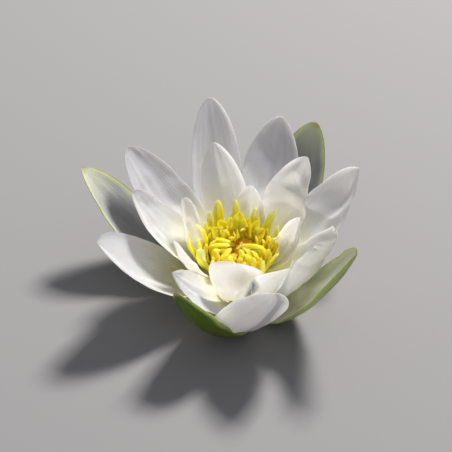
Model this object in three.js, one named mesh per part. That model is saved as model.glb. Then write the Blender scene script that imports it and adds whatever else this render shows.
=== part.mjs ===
// White water lily flower (a hardy Nymphaea), picked with its stalk cut just beneath the bloom.
// Millimetres, +Z up. It stands upright on the cut end and on the bellies of its four sepals.
// The frame's origin is the bottom centre of the whole flower's bounding box.
import * as THREE from "three";

// ---------- Driving dimensions ----------
// The heart: the ovary, a fleshy cup that every blade and stamen grows from, as radii at heights.
const HEART_PROFILE = [
  { height: 1.9, radius: 5.4 },
  { height: 3.0, radius: 7.4 },
  { height: 5.5, radius: 9.0 },
  { height: 9.5, radius: 9.7 },
  { height: 13.0, radius: 9.6 },
  { height: 15.8, radius: 8.8 },
];
const HEART_SIDES = 40;

// The stigma: a shallow dish with a low boss in its middle, on top of the heart. The dish's profile
// is given as shares of its radius and of the height its rim stands above its floor.
const STIGMA_RADIUS = 6.8;
const STIGMA_THICKNESS = 1.3;
const STIGMA_RIM_RISE = 1.2;
const STIGMA_FOOT_SHARE = 0.86;
const STIGMA_OUTER_EDGE = 0.6;
const STIGMA_RIM_SHARE = 0.94;
const STIGMA_BOWL_SHARE = 0.7;
const STIGMA_BOWL_RISE = 0.35;
const BOSS_RADIUS = 1.3;
const BOSS_HEIGHT = 1.7;
const BOSS_FOOT_SHARE = 1.3;
const BOSS_SHOULDER_SHARE = 0.7;

// The stalk stub under the heart.
const STALK_RADIUS = 3.3;
const STALK_EASE = 0.3;

// Clearance left between neighbouring pieces.
const GAP = 0.3;

// What is left of a blade's thickness by the time it reaches its tip.
const TIP_THICKNESS_SHARE = 0.7;

// How finely the pieces are cut: stations along each, and points around its section.
const BLADE_STATIONS = 10;
const BLADE_SECTION = 12;
const STAMEN_STATIONS = 6;
const STAMEN_SECTION = 6;

const rad = THREE.MathUtils.degToRad;
const lerp = THREE.MathUtils.lerp;

// ---------- Blades: sepals and petals ----------
// A blade leaves the heart at seat (a height) and ends at its tip (azimuth, reach, height).
// rise is the slope of its midrib at either end, in degrees above level, and pull is how far it
// keeps that slope. Its section is an arc that opens towards the middle of the flower: cup is the
// angle its rims turn up by at the base and the tip. roll leans the tip over about the midrib.
// taper above 1 keeps the base narrow for longer, as on a spoon.
const KINDS = {
  sepal: {
    thickness: 1.4, baseShare: 0.42, widest: 0.5, bluntness: 0.6,
    startRise: -14, endRise: 54, cup: [30, 30], startPull: 0.42, endPull: 0.34,
  },
  outer: {
    thickness: 1.1, baseShare: 0.28, widest: 0.55, bluntness: 0.62,
    startRise: 0, endRise: 58, cup: [34, 34], startPull: 0.36, endPull: 0.34,
  },
  middle: {
    thickness: 1.0, baseShare: 0.32, widest: 0.55, bluntness: 0.65,
    startRise: 10, endRise: 70, cup: [34, 36], startPull: 0.3, endPull: 0.38,
  },
  inner: {
    thickness: 0.9, baseShare: 0.4, widest: 0.55, bluntness: 0.7,
    startRise: 4, endRise: 78, cup: [34, 38], startPull: 0.3, endPull: 0.45,
  },
};

const BLADES = [
  {
    name: "sepal_left", kind: "sepal",
    azimuth: 156, reach: 61.5, height: 35.9, width: 26, seat: 2.9,
    endRise: 48, roll: 8,
  },
  {
    name: "sepal_back", kind: "sepal",
    azimuth: 62.5, reach: 62.5, height: 34.9, width: 25, seat: 2.9,
  },
  {
    name: "sepal_right", kind: "sepal",
    azimuth: 317.5, reach: 53, height: 46.0, width: 28, seat: 2.9,
    baseShare: 0.34, widest: 0.48, bluntness: 0.58, startRise: -16, endRise: 64, startPull: 0.36,
    cup: [40, 40], lean: 14, roll: 4,
  },
  {
    name: "sepal_front", kind: "sepal",
    azimuth: 246, seatAzimuth: 278, reach: 46, height: 31.6, width: 18.4, seat: 2.9,
    baseShare: 0.22, widest: 0.8, bluntness: 0.6, startRise: -16, endRise: 76, startPull: 0.54,
    endPull: 0.45, cup: [50, 24], lean: -5, roll: -14,
  },
  {
    name: "petal_outer_back", kind: "outer",
    azimuth: 101, seatAzimuth: 105, reach: 54.5, height: 46.4, width: 20, seat: 5.0,
    bluntness: 0.56, startRise: -6,
  },
  {
    name: "petal_outer_back_right", kind: "outer",
    azimuth: 73, seatAzimuth: 67, reach: 54, height: 39.4, width: 22.5, seat: 7.2,
    startRise: 10,
  },
  {
    name: "petal_outer_left_back", kind: "outer",
    azimuth: 141.5, seatAzimuth: 134, reach: 51, height: 39.4, width: 23.5, seat: 6.9,
    startRise: 6, roll: 8,
  },
  {
    name: "petal_outer_right", kind: "outer",
    azimuth: 27, seatAzimuth: 28, reach: 48.5, height: 37.4, width: 23.5, seat: 5.0,
    startRise: -2,
  },
  {
    name: "petal_outer_left", kind: "outer",
    azimuth: 204, seatAzimuth: 200, reach: 52.5, height: 38.4, width: 29, seat: 5.4,
    baseShare: 0.4, widest: 0.48, startRise: 2, cup: [46, 34], roll: -14,
  },
  {
    name: "petal_outer_front", kind: "outer",
    azimuth: 284, seatAzimuth: 254, reach: 49.5, height: 38, width: 21, seat: 5.0,
    baseShare: 0.26, widest: 0.66, bluntness: 0.9, startRise: -8, endRise: 72, startPull: 0.6,
    cup: [44, 44], lean: 4, roll: -15,
  },
  {
    name: "petal_outer_front_left", kind: "outer",
    azimuth: 239, seatAzimuth: 255, reach: 43.3, height: 37.8, width: 19.5, seat: 8.5,
    baseShare: 0.24, widest: 0.36, bluntness: 1, startRise: 1, endRise: 60, startPull: 0.33,
    cup: [17, 13], lean: -24, roll: -34,
  },
  {
    name: "petal_outer_front_right", kind: "outer",
    azimuth: 329, seatAzimuth: 330, reach: 38.6, height: 39.1, width: 31, seat: 6.4,
    widest: 0.46, bluntness: 1, startRise: -6, endRise: 70, startPull: 0.36,
    cup: [44, 58], lean: 21, roll: -25,
  },
  {
    name: "petal_middle_back", kind: "middle",
    azimuth: 105, seatAzimuth: 94, reach: 33.5, height: 41.4, width: 18, seat: 9.0,
  },
  {
    name: "petal_middle_left", kind: "middle",
    azimuth: 172, reach: 37.5, height: 39.4, width: 21, seat: 8.6,
    startRise: 20, startPull: 0.24,
  },
  {
    name: "petal_middle_right", kind: "middle",
    azimuth: 40, reach: 32, height: 43.4, width: 22, seat: 9.0,
  },
  {
    name: "petal_middle_front_right", kind: "middle",
    azimuth: 304, seatAzimuth: 285, reach: 31.6, height: 30.8, width: 18.6, seat: 8.5,
    widest: 0.72, bluntness: 0.9, startRise: -14, endRise: 48, startPull: 0.6, cup: [34, 50],
    lean: -5, roll: 15,
  },
  {
    name: "petal_inner_front", kind: "inner",
    azimuth: 268.5, seatAzimuth: 260, reach: 26.3, height: 33, width: 20.2, seat: 10.4,
    baseShare: 0.14, widest: 0.84, taper: 2.4, bluntness: 0.62, startRise: -8, endRise: 90,
    startPull: 0.66, endPull: 0.36, cup: [52, 46], roll: 8,
  },
  {
    name: "petal_inner_left", kind: "inner",
    azimuth: 154, seatAzimuth: 178, reach: 22, height: 33.4, width: 12, seat: 10.8,
  },
  {
    name: "petal_inner_front_left", kind: "inner",
    azimuth: 207, seatAzimuth: 220, reach: 25, height: 31.4, width: 11, seat: 10.8,
  },
  {
    name: "petal_inner_right", kind: "inner",
    azimuth: 356, reach: 21.5, height: 33.4, width: 12, seat: 10.8,
    roll: 40,
  },
  {
    name: "petal_inner_back", kind: "inner",
    azimuth: 77.5, reach: 21.5, height: 30.4, width: 13, seat: 10.8,
  },
];

// ---------- Stamens ----------
// A stamen is a narrow blade. The outer ones have broad, petal-like filaments and stand up. The
// middle ones lean in, and the inner ones arch over the stigma: an endRise past 90 points inwards.
const STAMEN_KINDS = {
  outer: {
    thickness: 0.8, seat: 12.2, width: 3.8, baseShare: 0.7, widest: 0.3, bluntness: 0.8,
    startRise: 12, endRise: 84, cup: [30, 30], startPull: 0.3, endPull: 0.5,
  },
  middle: {
    thickness: 0.8, seat: 13.6, width: 2.4, baseShare: 0.7, widest: 0.4, bluntness: 0.6,
    startRise: 38, endRise: 110, cup: [20, 20], startPull: 0.4, endPull: 0.4,
  },
  inner: {
    thickness: 0.8, seat: 14.9, width: 2.0, baseShare: 0.7, widest: 0.5, bluntness: 0.5,
    startRise: 62, endRise: 200, cup: [15, 15], startPull: 0.75, endPull: 0.6,
  },
};

// The outer stamens, one by one round the flower.
const OUTER_STAMENS = [
  { azimuth: 0, reach: 14.4, height: 23.4 },
  { azimuth: 20, reach: 15.2, height: 24.4 },
  { azimuth: 40, reach: 17.4, height: 26.9 },
  { azimuth: 63, reach: 14.4, height: 26.4 },
  { azimuth: 93, reach: 16.0, height: 27.9 },
  { azimuth: 116, reach: 16.8, height: 28.4 },
  { azimuth: 134, reach: 15.2, height: 26.4 },
  { azimuth: 150, reach: 14.0, height: 24.4 },
  { azimuth: 167, reach: 15.6, height: 26.4 },
  { azimuth: 186, reach: 14.2, height: 23.4 },
  { azimuth: 206, reach: 13.8, height: 22.4 },
  { azimuth: 232, reach: 14.4, height: 22.4 },
  { azimuth: 258, reach: 14.0, height: 21.4 },
  { azimuth: 283, reach: 13.8, height: 21.9 },
  { azimuth: 306, reach: 14.6, height: 22.4 },
  { azimuth: 333, reach: 16.0, height: 21.9 },
];

// The two rings inside them. Their stamens differ a little in height, in a slow wave round the
// ring, and start is how far the first one stands past azimuth 0, as a share of their spacing.
const STAMEN_RINGS = [
  { kind: "middle", count: 10, start: 0.25, reach: 10.6, height: 22.4, unevenness: 1.2, wave: 2.3 },
  { kind: "inner", count: 10, start: 0.75, reach: 4.8, height: 20.0, unevenness: 0.8, wave: 1.7 },
];

function polar(radius, azimuth, height) {
  return new THREE.Vector3(radius * Math.cos(azimuth), radius * Math.sin(azimuth), height);
}

function heading(azimuth, rise) {
  return polar(Math.cos(rise), azimuth, Math.sin(rise));
}

// The heart's radius at a height.
function heartRadius(height) {
  const above = HEART_PROFILE.findIndex((ring) => ring.height >= height);
  const high = HEART_PROFILE[above];
  const low = HEART_PROFILE[Math.max(0, above - 1)];
  const share = (height - low.height) / (high.height - low.height || 1);
  return lerp(low.radius, high.radius, share);
}

// The midrib: a cubic curve that leaves the heart and arrives at the tip at the given slopes.
function midrib(b) {
  const seatAzimuth = rad(b.seatAzimuth ?? b.azimuth);
  const foot = polar(heartRadius(b.seat) + GAP + b.thickness / 2, seatAzimuth, b.seat);
  const tip = polar(b.reach, rad(b.azimuth), b.height);
  const chord = foot.distanceTo(tip);
  const leaves = heading(seatAzimuth, rad(b.startRise)).multiplyScalar(chord * b.startPull);
  const arrives = heading(rad(b.azimuth), rad(b.endRise)).multiplyScalar(chord * b.endPull);
  return new THREE.CubicBezierCurve3(foot, foot.clone().add(leaves), tip.clone().sub(arrives), tip);
}

// Half the blade's width at a share s of its length.
function halfWidth(b, s) {
  if (s < b.widest) {
    const swell = Math.pow(Math.sin((Math.PI / 2) * (s / b.widest)), b.taper ?? 1);
    return (b.width / 2) * lerp(b.baseShare, 1, swell);
  }
  const past = (s - b.widest) / (1 - b.widest);
  return (b.width / 2) * Math.pow(Math.max(0, 1 - past * past), b.bluntness);
}

// A point of the blade: s along it, across from -1 to 1, and side from -1 (outside) to 1 (inside).
function bladePoint(b, curve, s, across, side) {
  const facing = rad(lerp(b.seatAzimuth ?? b.azimuth, b.azimuth, s));
  const along = curve.getTangent(s);
  const sideways = new THREE.Vector3(-Math.sin(facing), Math.cos(facing), 0);
  sideways.addScaledVector(along, -sideways.dot(along)).normalize();
  const inward = new THREE.Vector3().crossVectors(along, sideways);
  const roll = rad((b.lean ?? 0) + (b.roll ?? 0) * s);
  const right = sideways.clone().multiplyScalar(Math.cos(roll)).addScaledVector(inward, Math.sin(roll));
  const up = inward.clone().multiplyScalar(Math.cos(roll)).addScaledVector(sideways, -Math.sin(roll));
  const cup = rad(lerp(b.cup[0], b.cup[1], s));
  const half = halfWidth(b, s);
  const turn = cup * across;
  const x = (half * Math.sin(turn)) / cup;
  const y = (half * (1 - Math.cos(turn))) / cup;
  const skin = (b.thickness / 2) * side * lerp(1, TIP_THICKNESS_SHARE, s);
  return curve.getPoint(s)
    .addScaledVector(right, x - skin * Math.sin(turn))
    .addScaledVector(up, y + skin * Math.cos(turn));
}

// One closed shell: rings of points around a section, a flat foot and a pointed tip.
function loft(stations, around, pointAt) {
  const positions = [];
  const faces = [];
  for (let i = 0; i < stations; i += 1) {
    for (let k = 0; k < around; k += 1) {
      positions.push(...pointAt(i / stations, (2 * Math.PI * k) / around).toArray());
    }
  }
  const ring = (i, k) => i * around + (k % around);
  for (let i = 0; i + 1 < stations; i += 1) {
    for (let k = 0; k < around; k += 1) {
      faces.push(ring(i, k), ring(i, k + 1), ring(i + 1, k));
      faces.push(ring(i + 1, k), ring(i, k + 1), ring(i + 1, k + 1));
    }
  }
  const tip = positions.length / 3;
  positions.push(...pointAt(1, 0).toArray());
  for (let k = 0; k < around; k += 1) {
    faces.push(ring(stations - 1, k), ring(stations - 1, k + 1), tip);
  }
  for (let k = 1; k + 1 < around; k += 1) {
    faces.push(ring(0, 0), ring(0, k + 1), ring(0, k));
  }
  const geometry = new THREE.BufferGeometry();
  geometry.setAttribute("position", new THREE.Float32BufferAttribute(positions, 3));
  geometry.setIndex(faces);
  geometry.computeVertexNormals();
  return geometry;
}

function bladeGeometry(b, stations, around) {
  const curve = midrib(b);
  return loft(stations, around, (s, turn) => {
    return bladePoint(b, curve, s, Math.cos(turn), Math.sin(turn));
  });
}

// ---------- Materials ----------
const PETAL = new THREE.Color("#f4f2ee");
const SEPAL = new THREE.Color("#7f9a45");
const HEART = new THREE.Color("#c9c46a");
const STIGMA = new THREE.Color("#e0b024");
const STALK = new THREE.Color("#7d8a48");
const STAMEN = new THREE.Color("#f2d51e");

const flower = new THREE.Group();
flower.name = "water_lily_flower";

function add(name, geometry, color, roughness = 0.5) {
  const material = new THREE.MeshStandardMaterial({ color, roughness, metalness: 0 });
  const mesh = new THREE.Mesh(geometry, material);
  mesh.name = name;
  flower.add(mesh);
  return mesh;
}

for (const blade of BLADES) {
  const b = { ...KINDS[blade.kind], ...blade };
  const geometry = bladeGeometry(b, BLADE_STATIONS, BLADE_SECTION);
  if (b.kind === "sepal") {
    // Each sepal droops until its belly touches the surface the flower stands on.
    geometry.computeBoundingBox();
    geometry.translate(0, 0, -geometry.boundingBox.min.z);
  }
  add(b.name, geometry, b.kind === "sepal" ? SEPAL : PETAL, 0.45);
}

function addStamen(name, kind, place) {
  const geometry = bladeGeometry({ ...STAMEN_KINDS[kind], ...place }, STAMEN_STATIONS, STAMEN_SECTION);
  add(name, geometry, STAMEN, 0.5);
}

const numbered = (stem, i) => `${stem}_${String(i + 1).padStart(2, "0")}`;

OUTER_STAMENS.forEach((place, i) => addStamen(numbered("stamen_outer", i), "outer", place));

for (const ring of STAMEN_RINGS) {
  for (let i = 0; i < ring.count; i += 1) {
    const azimuth = (360 * (i + ring.start)) / ring.count;
    const height = ring.height + ring.unevenness * Math.sin(ring.wave * i);
    addStamen(numbered(`stamen_${ring.kind}`, i), ring.kind, { azimuth, reach: ring.reach, height });
  }
}

// ---------- Heart, stigma and stalk ----------
// A solid turned about the flower's own axis from (radius, height) pairs, bottom to top.
function turned(pairs, sides) {
  const profile = pairs.map(([radius, height]) => new THREE.Vector2(radius, height));
  const geometry = new THREE.LatheGeometry(profile, sides);
  geometry.rotateX(Math.PI / 2);
  return geometry;
}

const heartFoot = HEART_PROFILE[0];
const heartTop = HEART_PROFILE[HEART_PROFILE.length - 1];
const heartSide = HEART_PROFILE.map((ring) => [ring.radius, ring.height]);
const heart = turned([[0, heartFoot.height], ...heartSide, [0, heartTop.height]], HEART_SIDES);
add("heart", heart, HEART, 0.6);

const stigmaFoot = heartTop.height + GAP;
const stigmaFloor = stigmaFoot + STIGMA_THICKNESS;
const stigma = turned([
  [0, stigmaFoot],
  [STIGMA_RADIUS * STIGMA_FOOT_SHARE, stigmaFoot],
  [STIGMA_RADIUS, stigmaFloor + STIGMA_RIM_RISE * STIGMA_OUTER_EDGE],
  [STIGMA_RADIUS * STIGMA_RIM_SHARE, stigmaFloor + STIGMA_RIM_RISE],
  [STIGMA_RADIUS * STIGMA_BOWL_SHARE, stigmaFloor + STIGMA_RIM_RISE * STIGMA_BOWL_RISE],
  [BOSS_RADIUS * BOSS_FOOT_SHARE, stigmaFloor],
  [BOSS_RADIUS, stigmaFloor + BOSS_HEIGHT * BOSS_SHOULDER_SHARE],
  [0, stigmaFloor + BOSS_HEIGHT],
], HEART_SIDES);
add("stigma", stigma, STIGMA, 0.45);

const stalkTop = heartFoot.height - GAP;
const stalk = turned([
  [0, 0],
  [STALK_RADIUS - STALK_EASE, 0],
  [STALK_RADIUS, STALK_EASE],
  [STALK_RADIUS, stalkTop],
  [0, stalkTop],
], HEART_SIDES);
add("stalk", stalk, STALK, 0.55);

// ---------- Origin ----------
// The flower is built about its own axis; the origin is the bottom centre of its bounding box.
const middle = new THREE.Box3().setFromObject(flower).getCenter(new THREE.Vector3());
for (const piece of flower.children) {
  piece.geometry.translate(-middle.x, -middle.y, 0);
}

export default flower;
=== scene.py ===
import math
import random

import bpy
from mathutils import Matrix, Vector


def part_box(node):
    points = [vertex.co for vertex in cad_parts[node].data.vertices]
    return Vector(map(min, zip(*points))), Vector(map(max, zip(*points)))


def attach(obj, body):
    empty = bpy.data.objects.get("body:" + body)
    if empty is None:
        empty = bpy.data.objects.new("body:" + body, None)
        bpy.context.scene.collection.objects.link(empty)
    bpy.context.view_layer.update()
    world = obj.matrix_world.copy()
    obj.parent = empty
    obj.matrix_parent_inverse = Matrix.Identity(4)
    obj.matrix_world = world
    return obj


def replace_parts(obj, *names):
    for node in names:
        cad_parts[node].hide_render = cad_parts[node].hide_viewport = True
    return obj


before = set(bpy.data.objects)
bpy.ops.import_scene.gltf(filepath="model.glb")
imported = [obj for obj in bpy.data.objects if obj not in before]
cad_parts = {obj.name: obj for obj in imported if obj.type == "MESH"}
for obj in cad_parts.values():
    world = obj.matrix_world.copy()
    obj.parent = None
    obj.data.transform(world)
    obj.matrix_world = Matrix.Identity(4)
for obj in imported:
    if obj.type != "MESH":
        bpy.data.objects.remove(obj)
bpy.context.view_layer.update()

# ---------- The bloom's own axis ----------
# Everything grows round the middle of the heart. Lengths are in millimetres until a piece is
# finished, and in metres after that.
MILLIMETRE = 0.001
heart_low, heart_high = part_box("heart")
axis_x = (heart_low.x + heart_high.x) / 2
axis_y = (heart_low.y + heart_high.y) / 2

# ---------- Camera ----------
# It looks down into the bloom from the front, from about seven times the bloom's width away.
CAMERA_PLACE = (-4.32, -536.54, 447.65)
CAMERA_AIM = (-4.32, 15.07, 16.69)
LENS = 154.9


def beside_axis(place):
    """A point given in millimetres from the bloom's axis, as a place in the frame."""
    return Vector((axis_x, axis_y, 0)) + Vector(place) * MILLIMETRE


def add_object(name, data):
    """A new object in the scene, round a camera, a light or a mesh."""
    made = bpy.data.objects.new(name, data)
    bpy.context.scene.collection.objects.link(made)
    return made


camera = add_object("camera", bpy.data.cameras.new("camera"))
camera.data.lens = LENS
camera.location = beside_axis(CAMERA_PLACE)
line_of_sight = beside_axis(CAMERA_AIM) - beside_axis(CAMERA_PLACE)
camera.rotation_euler = line_of_sight.to_track_quat("-Z", "Y").to_euler()
camera.data.clip_start = 0.01
bpy.context.scene.camera = camera

# ---------- Petals ----------
# Thin, waxy white blades set in a spiral on the side of the heart. Each leaves the heart nearly
# level, curves up, is cupped across its width like a shallow boat, and ends in a point. The
# growth tree below makes one blade; petals, sepals and stamens all grow from it.


def feed(tree, socket, value):
    """Gives a node's input a reading to follow, or a plain value."""
    if isinstance(value, Reading):
        tree.links.new(value.socket, socket)
    else:
        socket.default_value = value


def grow_node(tree, kind, inputs=(), output=0, arrow=False, **settings):
    """Adds one node to a tree and returns the reading it puts out."""
    made = tree.nodes.new(kind)
    for name, value in settings.items():
        setattr(made, name, value)
    pairs = inputs.items() if isinstance(inputs, dict) else enumerate(inputs)
    for key, value in pairs:
        feed(tree, made.inputs[key], value)
    return (Arrow if arrow else Reading)(tree, made.outputs[output])


class Reading:
    """A number worked out inside a node tree. Arithmetic on it adds the tree's own nodes."""

    def __init__(self, tree, socket):
        self.tree = tree
        self.socket = socket

    def math(self, operation, *others):
        return grow_node(self.tree, "ShaderNodeMath", (self, *others), operation=operation)

    def __add__(self, other):
        return self.math("ADD", other)

    def __sub__(self, other):
        return self.math("SUBTRACT", other)

    def __rsub__(self, other):
        return (self * -1) + other

    def __mul__(self, other):
        return self.math("MULTIPLY", other)

    def __truediv__(self, other):
        return self.math("DIVIDE", other)

    def __pow__(self, other):
        return self.math("POWER", other)

    def __abs__(self):
        return self.math("ABSOLUTE")

    def hump(self, sharpness):
        """1 where the reading is 0, falling away to 0 on both sides."""
        return (self * self * -sharpness).math("EXPONENT")

    def clamped(self):
        return self.math("MAXIMUM", 0.0).math("MINIMUM", 1.0)

    def eased(self, low, high):
        """0 below low, 1 above high, and a smooth step between."""
        inputs = {"Value": self, "From Min": low, "From Max": high}
        return grow_node(self.tree, "ShaderNodeMapRange", inputs, interpolation_type="SMOOTHSTEP")

    __radd__ = __add__
    __rmul__ = __mul__


class Arrow(Reading):
    """A vector worked out inside a node tree."""

    kind = "ShaderNodeVectorMath"

    def math(self, operation, *others):
        return grow_node(self.tree, self.kind, (self, *others), arrow=True, operation=operation)

    def scaled(self, size):
        inputs = {0: self, "Scale": size}
        return grow_node(self.tree, self.kind, inputs, arrow=True, operation="SCALE")

    def dot(self, other):
        inputs = (self, other)
        return grow_node(self.tree, self.kind, inputs, output="Value", operation="DOT_PRODUCT")

    def length(self):
        return grow_node(self.tree, self.kind, (self,), output="Value", operation="LENGTH")

    def split(self):
        return [grow_node(self.tree, "ShaderNodeSeparateXYZ", (self,), output=i) for i in range(3)]


def arrow_of(tree, x, y, z):
    return grow_node(tree, "ShaderNodeCombineXYZ", (x, y, z), arrow=True)


def between(low, high, share):
    """The value a share of the way from low to high."""
    return low + (high - low) * share


def blotches(tree, place, scale, detail=2.0):
    """Smooth noise from about 0 to 1."""
    inputs = {"Vector": place, "Scale": scale, "Detail": detail}
    return grow_node(tree, "ShaderNodeTexNoise", inputs)


BLADE_INPUTS = {
    "Rows": 100, "Around": 80,
    "Azimuth": 0.0, "Seat Azimuth": 0.0, "Reach": 40.0, "Height": 40.0, "Width": 22.0,
    "Seat": 5.0, "Foot Radius": 9.0, "Thickness": 1.1, "Tip Thickness": 0.7,
    "Base Share": 0.3, "Widest": 0.55, "Bluntness": 0.6, "Taper": 1.0,
    "Start Rise": 0.0, "End Rise": 58.0, "Start Pull": 0.36, "End Pull": 0.34,
    "Cup Base": 34.0, "Cup Tip": 34.0, "Lean": 0.0, "Roll": 0.0,
    "Keel": 0.45, "Waves": 1.0, "Furrows": 0.3, "Dents": 0.25, "Lip": 0.35,
    "Torn": 0.0, "Notch": 0.0, "Slant": 0.0, "Finger": 0.0, "Sacs": 0.0, "Seed": 0.0, "Edge": 0.75,
    "Dimple": 0.0, "Dimple Along": 0.8, "Dimple Across": 0.0,
}
# How steeply the groove, the dimple, the notch and the pollen sacs fall away from their middles.
GROOVE_SHARPNESS = 30.0
DIMPLE_SHARPNESS_ALONG = 8.0
DIMPLE_SHARPNESS_ACROSS = 2.2
NOTCH_SHARPNESS = 7.0
SAC_SHARPNESS = 16.0
# How far out from the midrib a pollen sac runs, as a share of the half width.
SAC_PLACE = 0.48
# Points closer than this, in millimetres, become one, which closes the blade's tip.
WELD = 0.02


def make_blade_tree():
    """A closed blade: a tube of rings flattened along a rising curve and gathered at its tip."""
    tree = bpy.data.node_groups.new("blade growth", "GeometryNodeTree")
    tree.interface.new_socket("Blade", in_out="OUTPUT", socket_type="NodeSocketGeometry")
    tree.interface.new_socket("Finish", in_out="INPUT", socket_type="NodeSocketMaterial")
    for name, value in BLADE_INPUTS.items():
        kind = "NodeSocketInt" if isinstance(value, int) else "NodeSocketFloat"
        tree.interface.new_socket(name, in_out="INPUT", socket_type=kind).default_value = value
    entry = tree.nodes.new("NodeGroupInput")
    leave = tree.nodes.new("NodeGroupOutput")

    def given(name):
        return Reading(tree, entry.outputs[name])

    def angle(name):
        return given(name).math("RADIANS")

    def polar(radius, azimuth, height):
        return arrow_of(tree, radius * azimuth.math("COSINE"), radius * azimuth.math("SINE"), height)

    def heading(azimuth, rise):
        return polar(rise.math("COSINE"), azimuth, rise.math("SINE"))

    # A tube one long and one in radius: its round gives across and side, its length gives along.
    cylinder = tree.nodes.new("GeometryNodeMeshCylinder")
    feed(tree, cylinder.inputs["Vertices"], given("Around"))
    feed(tree, cylinder.inputs["Side Segments"], given("Rows"))
    cylinder.inputs["Radius"].default_value = 1.0
    cylinder.inputs["Depth"].default_value = 1.0
    spot = grow_node(tree, "GeometryNodeInputPosition", arrow=True)
    across, round_side, rung = spot.split()
    # Rows crowd towards the tip, where the outline turns fastest.
    along = 1.0 - (0.5 - rung).clamped() ** 1.5
    side = round_side.math("SIGN") * abs(round_side) ** given("Edge")

    # The midrib, a cubic curve from the heart to the tip.
    seat_azimuth = angle("Seat Azimuth")
    azimuth = angle("Azimuth")
    foot = polar(given("Foot Radius"), seat_azimuth, given("Seat"))
    tip = polar(given("Reach"), azimuth, given("Height"))
    chord = (tip - foot).length()
    leaving = foot + heading(seat_azimuth, angle("Start Rise")).scaled(chord * given("Start Pull"))
    arriving = tip - heading(azimuth, angle("End Rise")).scaled(chord * given("End Pull"))
    rest = 1.0 - along
    rib = foot.scaled(rest ** 3.0) + leaving.scaled(3.0 * rest * rest * along)
    rib = rib + arriving.scaled(3.0 * rest * along * along) + tip.scaled(along ** 3.0)
    course = (leaving - foot).scaled(rest * rest) + (arriving - leaving).scaled(2.0 * rest * along)
    course = (course + (tip - arriving).scaled(along * along)).math("NORMALIZE")

    # The blade's own directions: right across it, and up out of its inner face.
    facing = between(seat_azimuth, azimuth, along)
    sideways = arrow_of(tree, facing.math("SINE") * -1.0, facing.math("COSINE"), 0.0)
    sideways = (sideways - course.scaled(sideways.dot(course))).math("NORMALIZE")
    inward = course.math("CROSS_PRODUCT", sideways)
    turned = (given("Lean") + given("Roll") * along).math("RADIANS")
    right = sideways.scaled(turned.math("COSINE")) + inward.scaled(turned.math("SINE"))
    up = inward.scaled(turned.math("COSINE")) - sideways.scaled(turned.math("SINE"))

    # The outline: it swells from the base to the widest place, then narrows to the tip.
    widest = given("Widest")
    swell = ((along / widest).math("MINIMUM", 1.0) * (math.pi / 2)).math("SINE") ** given("Taper")
    past = ((along - widest) / (1.0 - widest)).math("MAXIMUM", 0.0)
    narrowing = (1.0 - past * past).math("MAXIMUM", 0.0) ** given("Bluntness")
    # A stamen narrows early, from its flat stalk to a slender finger.
    narrowing = narrowing * (1.0 - given("Finger") * along.eased(0.25, 0.75))
    half = given("Width") * 0.5 * between(given("Base Share"), 1.0, swell) * narrowing
    # A torn tip has bites out of both its margins.
    tear_place = arrow_of(tree, along * 26.0, across.math("SIGN") * 4.0, given("Seed"))
    bitten = blotches(tree, tear_place, 1.0, 2.0).eased(0.42, 0.58) * along.eased(0.88, 0.94)
    half = half * (1.0 - given("Torn") * bitten * across * across)

    # The cupped section, with a groove down the midrib, slow waves and long shallow furrows.
    cup = between(given("Cup Base"), given("Cup Tip"), along).math("RADIANS")
    bend = cup * across
    out = half * bend.math("SINE") / cup
    lift = half * (1.0 - bend.math("COSINE")) / cup
    seed = given("Seed")
    # Waves and folds die out only close to the heart and close to the point.
    spread = (along * math.pi).math("SINE").math("MAXIMUM", 0.0) ** 0.6
    groove = across.hump(GROOVE_SHARPNESS) * given("Keel") * spread
    wave_place = arrow_of(tree, along * 2.2, across * 0.9, seed)
    wave = (blotches(tree, wave_place, 1.6, 1.0) - 0.5) * given("Waves") * 2.0 * spread
    furrow_place = arrow_of(tree, along * 0.9, across * 4.5, seed + 7.0)
    furrow = (blotches(tree, furrow_place, 1.3, 1.0) - 0.5) * given("Furrows") * 2.0 * spread
    # Soft creased dents, mostly in the upper half, where the bud's folds never quite flatten.
    dent_place = arrow_of(tree, along * 2.4, across * 0.5, seed + 19.0)
    crease = abs(blotches(tree, dent_place, 1.3, 0.0) - 0.5) * 7.0
    dent = (1.0 - crease.clamped()) * given("Dents") * along.eased(0.3, 0.7) * spread
    # One deeper dimple, where a neighbour pressed on the bud.
    dimple_along = (along - given("Dimple Along")) * DIMPLE_SHARPNESS_ALONG
    dimple_across = (across - given("Dimple Across")) * DIMPLE_SHARPNESS_ACROSS
    dimple = (-1.0 * dimple_along * dimple_along - dimple_across * dimple_across).math("EXPONENT")
    dent = dent - dimple * given("Dimple")
    margin_share = (across * across) ** 2.0
    ruffle_place = arrow_of(tree, along * 3.0, across.math("SIGN") * 2.0, seed + 13.0)
    ruffle = (blotches(tree, ruffle_place, 1.7, 1.0) - 0.5) * given("Waves") * 1.6
    curl = margin_share * spread * ruffle
    lip = (across * across) ** 9.0 * spread * given("Lip")
    lift = lift + wave + furrow + dent + curl + lip - groove

    # The notch draws the tip's middle back, and the slant draws one of its sides back.
    notch = given("Notch") * across.hump(NOTCH_SHARPNESS) * along ** 7.0
    slant = given("Slant") * (out * 2.0 / given("Width")) * along ** 4.0
    rib = rib - course.scaled(notch + slant)

    fade = (1.0 - along ** 10.0).math("MAXIMUM", 0.0) ** 0.5
    skin = given("Thickness") * 0.5 * side * between(1.0, given("Tip Thickness"), along) * fade
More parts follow.
